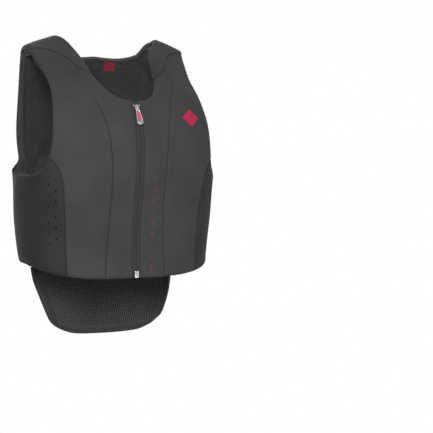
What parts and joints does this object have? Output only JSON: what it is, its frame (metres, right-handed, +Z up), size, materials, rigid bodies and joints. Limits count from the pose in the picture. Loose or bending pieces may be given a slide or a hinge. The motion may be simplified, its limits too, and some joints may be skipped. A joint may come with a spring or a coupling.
{
  "type": "equestrian body protector",
  "caption": "Padded riding vest with a zipped front, perforated side and back panels, overlapping shoulder flaps and a drop tail.",
  "frame": {"origin": "the seat on the wearer's shoulders, midway between the undersides of the two straps on the shoulder ridge", "axes": "+X to the wearer's left, -Y to the front, +Z up"},
  "size_m": [0.3934, 0.2828, 0.5858],
  "materials": {
    "shell": "matt charcoal softshell stretched over foam",
    "perforated": "matt charcoal softshell with drilled holes",
    "lining": "dark spacer mesh with a honeycomb",
    "tape": "woven zip tape",
    "coil": "dark nylon coil",
    "metal": "bright die-cast metal",
    "crimson": "satin crimson rubber"
  },
  "bodies": {
    "vest": {"front_centre_l": "shell", "front_side_l": "shell", "side_panel_l": "perforated", "shoulder_flap_l": "shell", "shoulder_tab_l": "shell", "blade_panel_l": "perforated", "back_side_l": "shell", "front_centre_r": "shell", "front_side_r": "shell", "side_panel_r": "perforated", "shoulder_flap_r": "shell", "shoulder_tab_r": "shell", "blade_panel_r": "perforated", "back_side_r": "shell", "neck_yoke": "shell", "back_centre": "perforated", "tail": "shell", "front_lining_l": "lining", "shoulder_lining_l": "lining", "front_lining_r": "lining", "shoulder_lining_r": "lining", "back_lining": "lining", "tail_lining": "lining", "zip_tape_l": "tape", "zip_stop_l": "metal", "zip_tape_r": "tape", "zip_stop_r": "metal", "zip_coil": "coil", "zip_box": "metal", "zip_slider": "metal"},
    "puller": {"zip_puller": "metal", "puller_grip": "crimson"}
  },
  "joints": [
    {"name": "puller_swing", "type": "hinge", "parent": "vest", "child": "puller", "pos_m": [0, -0.16911, -0.12086], "axis": [-1, 0, 0], "range_deg": [0, 165]}
  ]
}
